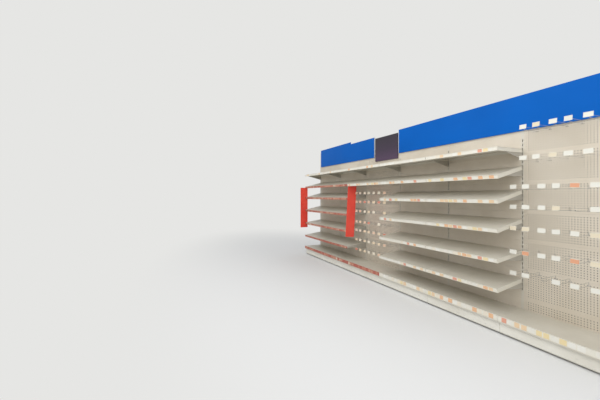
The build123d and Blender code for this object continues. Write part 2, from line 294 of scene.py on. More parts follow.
def ticket_card(name, stops):
    """Coated card: matt, in one colour a ticket, each colour from the ticket's own tone.

    Its fibres are far finer than a millimetre, so they are drawn as soft flecks of 4 mm.
    """
    material, tree, shader, place = start_material(name, Metallic=0.0, IOR=1.45)
    tone = put(tree, "ShaderNodeAttribute", {"attribute_name": "tone"})
    colour = put(
        tree,
        "ShaderNodeValToRGB",
        {"interpolation": "CONSTANT", "stops": stops},
        {"Fac": tone.outputs["Fac"]},
    )
    fibres = put(tree, "ShaderNodeTexNoise", None, {"Vector": place, "Scale": 1 / card_fibre, "Detail": 3.0})
    faded = put(
        tree,
        "ShaderNodeMapRange",
        None,
        {"Value": fibres, "From Min": 0.3, "From Max": 0.7, "To Min": 0.0, "To Max": 0.16},
    )
    paper = put(
        tree,
        "ShaderNodeMix",
        {"data_type": "RGBA"},
        {FACTOR: faded, FIRST: colour, SECOND: linear("#C9C2AE")},
    )
    tree.links.new(paper.outputs[MIXED], shader.inputs["Base Color"])
    roughen(tree, shader, place, grain=2 * mm, depth=0.1 * mm, low=0.5, high=0.62)
    return material


def fin_acrylic():
    """Cast acrylic sheet in solid red: a deep gloss that is duller in patches, where it gets rubbed."""
    material, tree, shader, place = start_material(
        "red_acrylic_sheet", Metallic=0.0, IOR=1.49, Coat_Weight=0.5
    )
    cloud = put(tree, "ShaderNodeTexNoise", None, {"Vector": place, "Scale": 1 / fin_cloud, "Detail": 3.0})
    tone = put(tree, "ShaderNodeValToRGB", {"stops": [(0.3, "#EE463A"), (0.65, "#FA5545")]}, {"Fac": cloud})
    tree.links.new(tone.outputs[0], shader.inputs["Base Color"])
    roughen(tree, shader, place, grain=6 * mm, depth=0.1 * mm, low=0.1, high=0.26, cloud=fin_rub)
    return material


def board_paint():
    """Board sprayed with a satin acrylic paint in strong blue: even, with a faint mist texture."""
    material, tree, shader, place = start_material(
        "satin_blue_board_paint", Metallic=0.0, Specular_IOR_Level=0.08
    )
    cloud = put(tree, "ShaderNodeTexNoise", None, {"Vector": place, "Scale": 1 / paint_cloud, "Detail": 3.0})
    tone = put(tree, "ShaderNodeValToRGB", {"stops": [(0.3, "#0057AC"), (0.7, "#005EB8")]}, {"Fac": cloud})
    tree.links.new(tone.outputs[0], shader.inputs["Base Color"])
    roughen(tree, shader, place, grain=4 * mm, depth=0.2 * mm, low=0.32, high=0.46)
    return material


def picture_print():
    """A printed sheet on board, left bare: aubergine that darkens upwards, under a satin film."""
    material, tree, shader, place = start_material("aubergine_print_film", Metallic=0.0, IOR=1.48)
    height = put(tree, "ShaderNodeSeparateXYZ", None, {0: place}).outputs["Z"]
    foot, head = [corner.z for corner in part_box("header_picture_panel")]
    rise = put(tree, "ShaderNodeMapRange", None, {"Value": height, "From Min": foot, "From Max": head})
    tone = put(
        tree,
        "ShaderNodeValToRGB",
        {"stops": [(0.0, "#4A3450"), (0.45, "#33243A"), (1.0, "#231B28")]},
        {"Fac": rise},
    )
    tree.links.new(tone.outputs[0], shader.inputs["Base Color"])
    roughen(tree, shader, place, grain=5 * mm, depth=0.1 * mm, low=0.3, high=0.42)
    return material


def trim_aluminium():
    """Extruded aluminium with a natural satin anodised finish: pale grey, brushed along its length.

    The brush lines are drawn 2 mm apart, since real ones of a tenth of that don't show.
    """
    material, tree, shader, place = start_material("anodised_aluminium_trim", Metallic=1.0)
    line_gap, line_length = 2 * mm, 250 * mm
    line_scale = (1 / line_gap, 1 / line_gap, 1 / line_length)
    along = put(tree, "ShaderNodeMapping", None, {"Vector": place, "Scale": line_scale})
    lines = put(tree, "ShaderNodeTexNoise", None, {"Vector": along, "Scale": 1.0, "Detail": 2.0})
    tone = put(tree, "ShaderNodeValToRGB", {"stops": [(0.3, "#C9C9C4"), (0.7, "#E4E4DF")]}, {"Fac": lines})
    tree.links.new(tone.outputs[0], shader.inputs["Base Color"])
    roughen(tree, shader, place, grain=4 * mm, depth=0.1 * mm, low=0.42, high=0.55)
    return material


def bright_zinc(name, low, high, colour="#D5D6D8", shade="#9FA1A3"):
    """Bright zinc plate on drawn steel: silvery, cloudy where it has dulled."""
    material, tree, shader, place = start_material(name, Metallic=1.0)
    cloud = put(tree, "ShaderNodeTexNoise", None, {"Vector": place, "Scale": 1 / zinc_cloud, "Detail": 4.0})
    tone = put(tree, "ShaderNodeValToRGB", {"stops": [(0.3, shade), (0.6, colour)]}, {"Fac": cloud})
    tree.links.new(tone.outputs[0], shader.inputs["Base Color"])
    roughen(tree, shader, place, grain=3 * mm, depth=0.1 * mm, low=low, high=high, cloud=zinc_sheen)
    return material


# The run's finishes
shelf_coat = powder_coat("cream_powder_coat_shelf", "#D6D1C4", "#CCC6B7")
panel_coat = powder_coat("cream_powder_coat_panel", "#D5CBBA", "#C9BEAB")
sheet_coat = powder_coat("cream_powder_coat_perforated_sheet", "#D5CBBA", "#C9BEAB", edge=0.0)
frame_coat = powder_coat("cream_powder_coat_frame", "#D2CCBE", "#C6BFAF")
# The brackets' coat is the cream coat darkened to grey: painted shade, for brackets that stand in shade under
# the shelves
shaded_bracket_coat = powder_coat("cream_powder_coat_bracket_with_painted_shade", "#B2AEA3", "#A6A195")
# The plinth's coat is paler than the other creams: painted light, lifting the shade under the base deck's
# overhang
brightened_plinth_coat = powder_coat("cream_powder_coat_plinth_with_painted_light", "#E8E5DA", "#DEDACD", scuffed=True)
white_pvc = strip_pvc("extruded_pvc_cream", cream_strip)
red_pvc = strip_pvc("extruded_pvc_red_below_the_top_shelf", red_strip, change=2.0)
base_red_pvc = strip_pvc("extruded_pvc_red_on_the_base_deck", red_strip, change=0.3)
white_cards = ticket_card(
    "coated_card_tickets_pale",
    [
        (0.0, "#E4E1D6"),
        (0.3, "#E7C9A2"),
        (0.46, "#E5DCC9"),
        (0.58, "#E8D4A2"),
        (0.68, "#E6B58A"),
        (0.8, "#E7E5DC"),
        (0.96, "#DE9A82"),
    ],
)
red_cards = ticket_card(
    "coated_card_tickets_red",
    [(0.0, "#BC7862"), (0.4, "#C58E76"), (0.66, "#CEA78C"), (0.8, "#AE5745"), (0.94, "#D6C7AF")],
)
hook_cards = ticket_card(
    "coated_card_tickets_hook_white",
    [(0.0, "#E0DED4"), (0.8, "#DCD0B6"), (0.9, "#D8D6CE"), (0.96, "#D89873")],
)
peach_hook_cards = ticket_card(
    "coated_card_tickets_hook_peach",
    [(0.0, "#E3CDAC"), (0.45, "#E2BDA0"), (0.66, "#E4DAC4"), (0.9, "#D58069")],
)
red_acrylic = fin_acrylic()
blue_paint = board_paint()
dark_print = picture_print()
pale_trim = trim_aluminium()
wire_zinc = bright_zinc("bright_zinc_hook_wire", 0.16, 0.3)
foot_zinc = bright_zinc("dull_zinc_levelling_foot", 0.35, 0.5, "#B9BABC", "#85878A")

# The last start that fits a node's name gives its finish, and the others have the frame's coat
finish_of_node = {
    "shelves": shelf_coat,
    "shelf_brackets": shaded_bracket_coat,
    "base_decks": shelf_coat,
    "plinth_panels": brightened_plinth_coat,
    "back_panels": panel_coat,
    "divider_fin": red_acrylic,
    "header_board": blue_paint,
    "header_picture_panel": dark_print,
    "header_end_trims": pale_trim,
    "levelling_feet": foot_zinc,
    "peg_hooks": wire_zinc,
    "shelf_end_strips": white_pvc,
    "ticket_strips": white_pvc,
    "ticket_strips_bay_4": base_red_pvc,
    "ticket_strips_bay_5": red_pvc,
    "ticket_strips_bay_6": red_pvc,
}


def dress_frame():
    """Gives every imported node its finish."""
    for name, piece in nodes.items():
        finish = frame_coat
        for start, material in finish_of_node.items():
            if name.startswith(start):
                finish = material
        piece.data.materials.clear()
        piece.data.materials.append(finish)


# Set out by Geometry Nodes: one form on many places
def setting_out_tree():
    """Puts one form on each given point, with a little play, some places left empty, and a tone each."""
    tree = bpy.data.node_groups.new("set_out_on_points", "GeometryNodeTree")
    face = tree.interface
    face.new_socket("Points", in_out="INPUT", socket_type="NodeSocketGeometry")
    face.new_socket("Form", in_out="INPUT", socket_type="NodeSocketObject")
    for name in ("Slide", "Lean", "Widest", "Narrowest", "Filled"):
        face.new_socket(name, in_out="INPUT", socket_type="NodeSocketFloat")
    face.new_socket("Seed", in_out="INPUT", socket_type="NodeSocketInt")
    face.new_socket("Finish", in_out="INPUT", socket_type="NodeSocketMaterial")
    face.new_socket("Pieces", in_out="OUTPUT", socket_type="NodeSocketGeometry")
    given = put(tree, "NodeGroupInput").outputs
    seeds = [
        put(tree, "FunctionNodeIntegerMath", {"operation": "ADD"}, {0: given["Seed"], 1: step})
        for step in range(5)
    ]
    back, under = [
        put(tree, "ShaderNodeMath", {"operation": "MULTIPLY"}, {0: given[name], 1: -1.0})
        for name in ("Slide", "Lean")
    ]
    slide, slant, width, tone = [
        put(
            tree,
            "FunctionNodeRandomValue",
            {"data_type": "FLOAT"},
            {2: low, 3: high, "Seed": seed},
        ).outputs[1]
        for seed, low, high in (
            (seeds[1], back, given["Slide"]),
            (seeds[2], under, given["Lean"]),
            (seeds[3], given["Narrowest"], given["Widest"]),
            (seeds[4], 0.0, 1.0),
        )
    ]
    kept = put(
        tree,
        "FunctionNodeRandomValue",
        {"data_type": "BOOLEAN"},
        {"Probability": given["Filled"], "Seed": seeds[0]},
    ).outputs[3]
    shift = put(tree, "ShaderNodeCombineXYZ", None, {"X": slide})
    moved = put(tree, "GeometryNodeSetPosition", None, {"Geometry": given["Points"], "Offset": shift})
    tilt = put(tree, "GeometryNodeInputNamedAttribute", {"data_type": "FLOAT"}, {"Name": "tilt"}).outputs[0]
    tilted, leant = [
        put(tree, "FunctionNodeEulerToRotation", None, {0: put(tree, "ShaderNodeCombineXYZ", None, angles)})
        for angles in ({"X": tilt}, {"Y": slant})
    ]
    turn = put(tree, "FunctionNodeRotateRotation", {"rotation_space": "LOCAL"}, {0: tilted, 1: leant})
    size = put(tree, "ShaderNodeCombineXYZ", None, {"X": width, "Y": 1.0, "Z": 1.0})
    form = put(tree, "GeometryNodeObjectInfo", None, {"Object": given["Form"], "As Instance": True})
    spread = put(
        tree,
        "GeometryNodeInstanceOnPoints",
        None,
        {
            "Points": moved,
            "Selection": kept,
            "Instance": form.outputs["Geometry"],
            "Rotation": turn,
            "Scale": size,
        },
    )
    toned = put(
        tree,
        "GeometryNodeStoreNamedAttribute",
        {"data_type": "FLOAT", "domain": "INSTANCE"},
        {"Geometry": spread, "Name": "tone", "Value": tone},
    )
    real = put(tree, "GeometryNodeRealizeInstances", None, {"Geometry": toned})
    done = put(tree, "GeometryNodeSetMaterial", None, {"Geometry": real, "Material": given["Finish"]})
    put(tree, "NodeGroupOutput", None, {0: done})
    return tree


def perforating_tree():
    """Fills a sheet with perforated cells and stacks the finished sheets up the bay."""
    tree = bpy.data.node_groups.new("perforate_and_stack", "GeometryNodeTree")
    face = tree.interface
    face.new_socket("Rim", in_out="INPUT", socket_type="NodeSocketGeometry")
    face.new_socket("Cell", in_out="INPUT", socket_type="NodeSocketObject")
    for name in ("Pitch", "Width", "Height"):
        face.new_socket(name, in_out="INPUT", socket_type="NodeSocketFloat")
    for name in ("Columns", "Rows"):
        face.new_socket(name, in_out="INPUT", socket_type="NodeSocketInt")
    face.new_socket("Levels", in_out="INPUT", socket_type="NodeSocketObject")
    face.new_socket("Finish", in_out="INPUT", socket_type="NodeSocketMaterial")
    face.new_socket("Sheets", in_out="OUTPUT", socket_type="NodeSocketGeometry")
    given = put(tree, "NodeGroupInput").outputs
    grid = put(
        tree,
        "GeometryNodeMeshGrid",
        None,
        {
            "Size X": given["Width"],
            "Size Y": given["Height"],
            "Vertices X": given["Columns"],
            "Vertices Y": given["Rows"],
        },
    )
    upright = put(
        tree,
        "GeometryNodeTransform",
        None,
        {"Geometry": grid, "Rotation": (math.pi / 2, 0.0, 0.0)},
    )
    cell = put(tree, "GeometryNodeObjectInfo", None, {"Object": given["Cell"], "As Instance": True})
    filled = put(
        tree,
        "GeometryNodeInstanceOnPoints",
        None,
        {"Points": upright, "Instance": cell.outputs["Geometry"], "Scale": given["Pitch"]},
    )
    real = put(tree, "GeometryNodeRealizeInstances", None, {"Geometry": filled})
    joined = put(tree, "GeometryNodeJoinGeometry")
    tree.links.new(real.outputs[0], joined.inputs[0])
    tree.links.new(given["Rim"], joined.inputs[0])
    sheet = put(tree, "GeometryNodeMergeByDistance", None, {"Geometry": joined, "Distance": 0.1 * mm})
    levels = put(tree, "GeometryNodeObjectInfo", None, {"Object": given["Levels"]})
    one = put(tree, "GeometryNodeGeometryToInstance", None, {0: sheet})
    stacked = put(
        tree,
        "GeometryNodeInstanceOnPoints",
        None,
        {"Points": levels.outputs["Geometry"], "Instance": one},
    )
    all_real = put(tree, "GeometryNodeRealizeInstances", None, {"Geometry": stacked})
    done = put(tree, "GeometryNodeSetMaterial", None, {"Geometry": all_real, "Material": given["Finish"]})
    put(tree, "NodeGroupOutput", None, {0: done})
    return tree


def link(name, mesh):
    """Puts a mesh into the scene as an object at the origin."""
    piece = bpy.data.objects.new(name, mesh)
    bpy.context.scene.collection.objects.link(piece)
    return piece


def run_tree(name, start, tree, values):
    """Runs a tree on an object and leaves its result as a plain mesh at the origin."""
    modifier = start.modifiers.new("tree", "NODES")
    modifier.node_group = tree
    sockets = {item.name: item.identifier for item in tree.interface.items_tree if item.in_out == "INPUT"}
    for key, value in values.items():
        modifier[sockets[key]] = value
    evaluated = start.evaluated_get(bpy.context.evaluated_depsgraph_get())
    mesh = bpy.data.meshes.new_from_object(evaluated)
    start.modifiers.remove(modifier)
    bpy.data.objects.remove(start)
    return link(name, mesh)


def place_points(name, places):
    """A mesh of loose points, each with the tilt of what stands on it."""
    mesh = bpy.data.meshes.new(name)
    mesh.from_pydata([place for place, tilt in places], [], [])
    tilts = mesh.attributes.new("tilt", "FLOAT", "POINT")
    tilts.data.foreach_set("value", [tilt for place, tilt in places])
    return link(name, mesh)


def set_out(name, form, places, finish, slot, slide=0.0, lean=0.0, narrow=1.0, wide=1.0, filled=1.0, seed=1):
    """One piece made of a form at every place, kept as part of the run."""
    piece = run_tree(
        name,
        place_points(name + "_places", places),
        set_out_on_points,
        {
            "Form": form,
            "Slide": slide,
            "Lean": lean,
            "Narrowest": narrow,
            "Widest": wide,
            "Filled": filled,
            "Seed": seed,
            "Finish": finish,
        },
    )
    return keep(piece, slot)


def keep(piece, slot, *replaced):
    """Hands a finished piece to the frame, in place of the nodes that it replaces."""
    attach(piece, "root")
    if replaced:
        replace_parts(piece, *replaced)
    return piece


# Forms that are set out many times
def mesh_from(name, build, closed=True):
    """The mesh of a form: the faces of a closed one are turned outwards."""
    shape = bmesh.new()
    build(shape)
    if closed:
        bmesh.ops.recalc_face_normals(shape, faces=shape.faces)
    mesh = bpy.data.meshes.new(name)
    shape.to_mesh(mesh)
    shape.free()
    return mesh


def rounded_outline(width, height, corner, steps=3):
    """The corners of a rounded rectangle about its middle, anticlockwise."""
    outline = []
    for quarter in range(4):
        centre_x = (width / 2 - corner) * (1 if quarter in (0, 3) else -1)
        centre_z = (height / 2 - corner) * (1 if quarter in (0, 1) else -1)
        for step in range(steps):
            angle = math.pi / 2 * (quarter + step / (steps - 1))
            outline.append((centre_x + corner * math.cos(angle), centre_z + corner * math.sin(angle)))
    return outline


def card_form(name, width, height, thickness=0.5 * mm, corner=1.5 * mm, lift=0.0):
    """A card with rounded corners that faces -Y, its back on the point or lifted off it."""

    def build(shape):
        outline = rounded_outline(width, height, corner)
        rings = [[shape.verts.new((x, y - lift, z)) for x, z in outline] for y in (-thickness, 0.0)]
        shape.faces.new(rings[0])
        shape.faces.new(rings[1][::-1])
        for index in range(len(outline)):
            after = (index + 1) % len(outline)
            shape.faces.new((rings[0][index], rings[1][index], rings[1][after], rings[0][after]))

    return link(name, mesh_from(name, build))


def holder_form(width, height, sheet=0.8 * mm, lip=3.5 * mm, curl=2.2 * mm):
    """The holder of a hook's ticket: a sheet whose top and bottom edges fold over the card."""
    half = height / 2
    profile = [
        (0, half),
        (-curl, half),
        (-curl - sheet, half - lip),
        (-curl, half - lip),
        (-sheet - curl / 2, half - sheet),
        (-sheet, half - sheet),
    ]
    profile += [(y, -z) for y, z in reversed(profile)]

    def build(shape):
        ends = [[shape.verts.new((x, y, z)) for y, z in profile] for x in (-width / 2, width / 2)]
        for index in range(len(profile)):
            after = (index + 1) % len(profile)
            shape.faces.new((ends[0][index], ends[0][after], ends[1][after], ends[1][index]))
        shape.faces.new(ends[0])
        shape.faces.new(ends[1][::-1])

    return link("holder_form", mesh_from("holder_form", build))


def turned(shape, rings, sides):
    """A form about Z through rings of radius and height, closed over its first and last ring."""
    loops = []
    for radius, z in rings:
        angles = [2 * math.pi * step / sides for step in range(sides)]
        loops.append([shape.verts.new((radius * math.cos(a), radius * math.sin(a), z)) for a in angles])
    for low, high in zip(loops, loops[1:]):
        for step in range(sides):
            after = (step + 1) % sides
            shape.faces.new((low[step], low[after], high[after], high[step]))
    shape.faces.new(loops[0][::-1])
    shape.faces.new(loops[-1])


def foot_form():
    """A levelling foot: a chamfered hexagonal pad, a threaded stud and a lock nut."""
    pad, pad_edge, pad_top = pad_radius, 5.5 * mm, 8 * mm
    nut, nut_low, nut_high, nut_chamfer = 8.8 * mm, 12.5 * mm, 19 * mm, 0.7 * mm
    stud, thread_depth, half_turn, half_turns = 5 * mm, 0.6 * mm, 0.75 * mm, 16

    def build(shape):
        turned(shape, [(pad - mm, 0.0), (pad, mm), (pad, pad_edge), (pad - 3 * mm, pad_top)], 6)
        chamfer = nut - 1.3 * mm
        nut_rings = [(chamfer, nut_low), (nut, nut_low + nut_chamfer), (nut, nut_high - nut_chamfer)]
        turned(shape, nut_rings + [(chamfer, nut_high)], 6)
        crests = [stud - thread_depth * (step % 2) for step in range(half_turns + 1)]
        turned(shape, [(radius, pad_top + half_turn * step) for step, radius in enumerate(crests)], 12)

    return link("foot_form", mesh_from("foot_form", build))


def facing_out(shape):
    """Turns a form about Z to stand on a face that looks along -Y."""
    bmesh.ops.rotate(shape, verts=shape.verts, matrix=Matrix.Rotation(math.pi / 2, 3, "X"))


def screw_form():
    """A pan-head screw with a socket."""
    head, crown, socket, socket_floor = 4.5 * mm, 2.7 * mm, 1.9 * mm, 1.3 * mm

    def build(shape):
        rings = [(head, 0.0), (head, mm), (head - 0.7 * mm, crown - 0.5 * mm), (socket + 0.5 * mm, crown)]
        turned(shape, rings + [(socket, crown), (socket, socket_floor)], 12)
        facing_out(shape)

    return link("screw_form", mesh_from("screw_form", build))


def bolt_form():
    """A hexagon bolt's head on its washer."""
    washer, washer_top, head, head_top, chamfer = 9 * mm, 1.4 * mm, 6.9 * mm, 5.4 * mm, 0.5 * mm

    def build(shape):
        turned(shape, [(washer, 0.0), (washer, mm), (washer - chamfer, washer_top)], 16)
        low, high = washer_top - 0.2 * mm, head_top - 0.6 * mm
        rings = [(head - 0.4 * mm, low), (head, low + chamfer), (head, high), (head - 0.9 * mm, head_top)]
        turned(shape, rings, 6)
        facing_out(shape)

    return link("bolt_form", mesh_from("bolt_form", build))


def bend(corners, radius, steps=3):
    """A path through the corners with each inner corner turned as an arc."""
    path = [Vector(corners[0])]
    for before, corner, after in zip(corners, corners[1:], corners[2:]):
        corner = Vector(corner)
        arrive = (corner - Vector(before)).normalized()
        leave = (Vector(after) - corner).normalized()
        half = arrive.angle(leave) / 2
        if half < 1e-3:
            continue
        reach = radius * math.tan(half)
        for step in range(steps + 1):
            share = step / steps
            first = corner - arrive * reach
            last = corner + leave * reach
            path.append(first.lerp(corner, share).lerp(corner.lerp(last, share), share))
    path.append(Vector(corners[-1]))
    return path


def wire(shape, path, radius, sides=6):
    """A closed round wire that follows a path, with domed ends."""
    rings = []
    side = Vector((1, 0, 0))
    for index, point in enumerate(path):
        before = path[max(index - 1, 0)]
        after = path[min(index + 1, len(path) - 1)]
        along = (after - before).normalized()
        if abs(side.dot(along)) < 0.9:
            across = (side - along * side.dot(along)).normalized()
        else:
            across = along.orthogonal().normalized()
        third = along.cross(across)
        ring = []
        for corner in range(sides):
            angle = 2 * math.pi * corner / sides
            offset = across * math.cos(angle) + third * math.sin(angle)
            ring.append(shape.verts.new(point + offset * radius))
        rings.append(ring)
    for low, high in zip(rings, rings[1:]):
        for corner in range(sides):
            after = (corner + 1) % sides
            shape.faces.new((low[corner], low[after], high[after], high[corner]))
    ends = ((rings[0], path[0], path[0] - path[1]), (rings[-1], path[-1], path[-1] - path[-2]))
    for ring, tip, outward in ends:
        crown = shape.verts.new(tip + outward.normalized() * radius * 0.7)
        for corner in range(sides):
            shape.faces.new((ring[corner], ring[(corner + 1) % sides], crown))


# The hook: its wire's radius, the prong and its tip, the ticket arm over it and the bridge behind them
hook_wire = 2.5 * mm
hook_reach = 245 * mm
tip_run, tip_height, tip_bend = 12 * mm, 18 * mm, 8 * mm
arm_start, arm_rise, arm_fall, arm_bend = 3 * mm, 36 * mm, 4 * mm, 6 * mm
arm_reach, arm_tip, arm_tip_lean = 268 * mm, 12 * mm, 1.7 * mm
bridge_front, bridge_back, bridge_height, bridge_bend = 2.6 * mm, 3.5 * mm, 10 * mm, 2.2 * mm


def hook_form():
    """A wire hook: a prong with a turned-up tip, a thinner ticket arm over it and a bridge.

    The bridge's two ends pass through neighbouring perforations and turn up behind the sheet.
    """

    def build(shape):
        foot = (0, -0.6 * mm, hook_wire)
        prong = [foot, (0, -hook_reach, hook_wire), (0, -hook_reach - tip_run, tip_height)]
        wire(shape, bend(prong, tip_bend), hook_wire)
        arm = [
            (0, -arm_start, hook_wire),
            (0, -arm_start, arm_rise),
            (0, -arm_reach, arm_rise - arm_fall),
            (0, -arm_reach + arm_tip_lean, arm_rise + arm_tip),
        ]
        wire(shape, bend(arm, arm_bend), hook_wire * 0.72)
        side = hole_pitch / 2
        half_bridge = [
            (side, -bridge_front, 0.0),
            (side, bridge_back, 0.0),
            (side, bridge_back, bridge_height),
        ]
        bridge = [(-x, y, z) for x, y, z in reversed(half_bridge)] + half_bridge
        wire(shape, bend(bridge, bridge_bend), hook_wire * 0.8)

    return link("hook_form", mesh_from("hook_form", build))


# The perforations of a whole sheet and of the low infill sheet under the stack
hole_radius = 4.7 * mm
sheet_columns = 38
sheet_rows = 12
infill_rows = 6


def cell_form():
    """One unit square of sheet round its hole, open at the square's sides; the pitch scales it."""

    def build(shape):
        radius = hole_radius / hole_pitch
        depth = panel_sheet / hole_pitch
        square = [(1, 0), (1, 1), (0, 1), (-1, 1), (-1, 0), (-1, -1), (0, -1), (1, -1)]
        layers = []
        for y in (0.0, depth):
            outer = [shape.verts.new((x / 2, y, z / 2)) for x, z in square]
            inner = [
                shape.verts.new((radius * math.cos(math.pi / 4 * k), y, radius * math.sin(math.pi / 4 * k)))
                for k in range(8)
            ]
            layers.append((outer, inner))
        for k in range(8):
            after = (k + 1) % 8
            (front_out, front_in), (back_out, back_in) = layers
            shape.faces.new((front_out[k], front_in[k], front_in[after], front_out[after]))
            shape.faces.new((back_out[k], back_out[after], back_in[after], back_in[k]))
            shape.faces.new((front_in[k], back_in[k], back_in[after], front_in[after]))

    return link("cell_form", mesh_from("cell_form", build, closed=False))


def rim_mesh(name, width, height, columns, rows):
    """The plain margin of a perforated sheet and its four folded sides, open where the cells go."""
    inner_x = columns * hole_pitch / 2
    inner_z = rows * hole_pitch / 2

    def ring(shape, half_x, half_z, y):
        """One loop of points, as many to a side as the cells have there."""
        loop = []
        corners = [(half_x, -half_z), (half_x, half_z), (-half_x, half_z), (-half_x, -half_z)]
        counts = [rows * 2, columns * 2, rows * 2, columns * 2]
        for (x0, z0), (x1, z1), count in zip(corners, corners[1:] + corners[:1], counts):
            for k in range(count):
                loop.append(shape.verts.new((x0 + (x1 - x0) * k / count, y, z0 + (z1 - z0) * k / count)))
        return loop

    def build(shape):
        t = panel_sheet
        loops = [
            ring(shape, inner_x, inner_z, 0.0),
            ring(shape, width / 2, height / 2, 0.0),
            ring(shape, width / 2, height / 2, panel_fold),
            ring(shape, width / 2 - t, height / 2 - t, panel_fold),
            ring(shape, width / 2 - t, height / 2 - t, t),
            ring(shape, inner_x, inner_z, t),
        ]
        for first, second in zip(loops, loops[1:]):
            for index in range(len(first)):
                after = (index + 1) % len(first)
                shape.faces.new((first[index], second[index], second[after], first[after]))
        bmesh.ops.reverse_faces(shape, faces=shape.faces)

    return mesh_from(name, build, closed=False)


def perforated_panels(bay):
    """The stack of perforated sheets in a hook bay, in place of its plain ones."""
    low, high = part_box(f"back_panels_bay_{bay}")
    middle, width = (low.x + high.x) / 2, high.x - low.x
    height = panel_height - panel_seam
    count = int((high.z - low.z) / panel_height)
    top = high.z + panel_seam
    middles = [top - panel_height * (index + 1) + height / 2 for index in range(count)]
    infill_height = top - count * panel_height - panel_seam - low.z
    stacks = []
    for label, tall, rows, heights in (
        ("sheets", height, sheet_rows, middles),
        ("infill", infill_height, infill_rows, [low.z + infill_height / 2]),
    ):
        levels = place_points("sheet_levels", [((middle, panel_front, z), 0.0) for z in heights])
        stack = run_tree(
            f"perforated_{label}_bay_{bay}",
            link("rim", rim_mesh("rim", width, tall, sheet_columns, rows)),
            perforate_and_stack,
            {
                "Cell": cell,
                "Pitch": hole_pitch,
                "Width": (sheet_columns - 1) * hole_pitch,
                "Height": (rows - 1) * hole_pitch,
                "Columns": sheet_columns,
                "Rows": rows,
                "Levels": levels,
                "Finish": sheet_coat,
            },
        )
        bpy.data.objects.remove(levels)
        stacks.append(stack)
    sheets, infill = stacks
    shape = bmesh.new()
    shape.from_mesh(sheets.data)
    shape.from_mesh(infill.data)
    shape.to_mesh(sheets.data)
    shape.free()
    bpy.data.objects.remove(infill)
    sheets.name = f"perforated_panels_bay_{bay}"
    return keep(sheets, "panel_steel", f"back_panels_bay_{bay}")


def hook_places(bay):
    """Hooks stand in the perforations, in the rows and columns of the frame's own."""
    reach = (bay_pitch - post_width) / 2 - hole_pitch
    places = [((column + shift) * hole_pitch, z) for z, shift in hook_rows[bay] for column in hook_columns]
    return [(bay_centres[bay - 1] + offset, z) for offset, z in places if abs(offset) < reach]


def hooks(bay, cards):
    """Wire hooks in every place of the bay, with a ticket plate on each arm."""
    front = panel_front - hook_wire
    places = [((x, front, z), 0.0) for x, z in hook_places(bay)]
    wires = set_out(f"wire_hooks_bay_{bay}", hook, places, wire_zinc, "hook_wire", lean=0.01, seed=20 + bay)
    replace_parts(wires, f"peg_hooks_bay_{bay}")
    plate_y = front - arm_reach - hook_wire
    plate_height, plate_tilt = arm_rise - 6 * mm, math.radians(-6)
    plates = [((x, plate_y, z + plate_height), plate_tilt) for x, z in hook_places(bay)]
    for part, form, finish in (("tickets", hook_card, cards), ("ticket_holders", holder, white_pvc)):
        set_out(
            f"hook_{part}_bay_{bay}",
            form,
            plates,
            finish,
            "ticket_strip_white",
            lean=math.radians(3),
            narrow=0.92,
            wide=1.05,
            filled=0.92,
            seed=31 + bay,
        )


# The cards in the strips: their pitch, the plain end of a strip, and how they stand in its channel
ticket_pitch = 66 * mm
strip_end = 10 * mm
card_gap = 0.2 * mm
card_drop = 0.4 * mm


def strip_line(row):
    """The middle of a shelf's ticket channel in side view, and its tilt from upright."""
    height, slope = row
    tilt = math.radians(slope)
    along = Vector((0, math.cos(tilt), math.sin(tilt)))
    square = Vector((0, -math.sin(tilt), math.cos(tilt)))
    deck = Vector(
        (0, post_front - touch - shelf_height * math.sin(tilt), height + shelf_depth * math.sin(tilt))
    )
    start = deck - along * (shelf_depth + touch) + square * strip_rise
    middle = start - along * (strip_sheet + card_gap) - square * (strip_height / 2 + card_drop)
    return middle, tilt


def strip_places(bay, rows, base):
    """Ticket places along some of the bay's strips: the shelf rows given, or the base deck's."""
    x = bay_centres[bay - 1]
    count = int((bay_pitch - 2 * strip_end) / ticket_pitch)
    offsets = [(index - (count - 1) / 2) * ticket_pitch for index in range(count)]
    if base:
        y = shelf_front - touch - strip_sheet - card_gap
        z = base_top + strip_rise - base_strip_height / 2 - card_drop
        return [((x + offset, y, z), 0.0) for offset in offsets]
    places = []
    for row in rows:
        middle, tilt = strip_line(row)
        places += [((x + offset, middle.y, middle.z), tilt) for offset in offsets]
    return places


def strip_tickets(bay):
    """The cards in the channels of one bay, in reds where its strips are red."""
    rows = rows_of_bay[bay]
    for part, some_rows, base, form in (
        ("shelf", rows[:-1], False, shelf_card),
        ("top_shelf", rows[-1:], False, shelf_card),
        ("base", [], True, base_card),
    ):
        places = strip_places(bay, some_rows, base)
        if not places:
            continue
        is_red = (bay > 4 and part != "top_shelf") or (bay == 4 and base)
        set_out(
            f"{part}_tickets_bay_{bay}",
            form,
            places,
            red_cards if is_red else white_cards,
            "ticket_strip_red" if is_red else "ticket_strip_white",
            slide=3 * mm,
            lean=math.radians(0.8),
            narrow=0.8,
            wide=1.04,
            filled=0.45 if part == "top_shelf" else 0.82,
            seed=50 + bay * 3 + base,
        )


def feet():
    """Levelling feet in place of the frame's plain ones."""
    lines = [feet_box[0].y + pad_flat, feet_box[1].y - pad_flat]
    places = [((x, y, 0.0), 0.0) for x in joints for y in lines]
    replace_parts(set_out("threaded_levelling_feet", foot, places, foot_zinc, "foot_steel"), "levelling_feet")


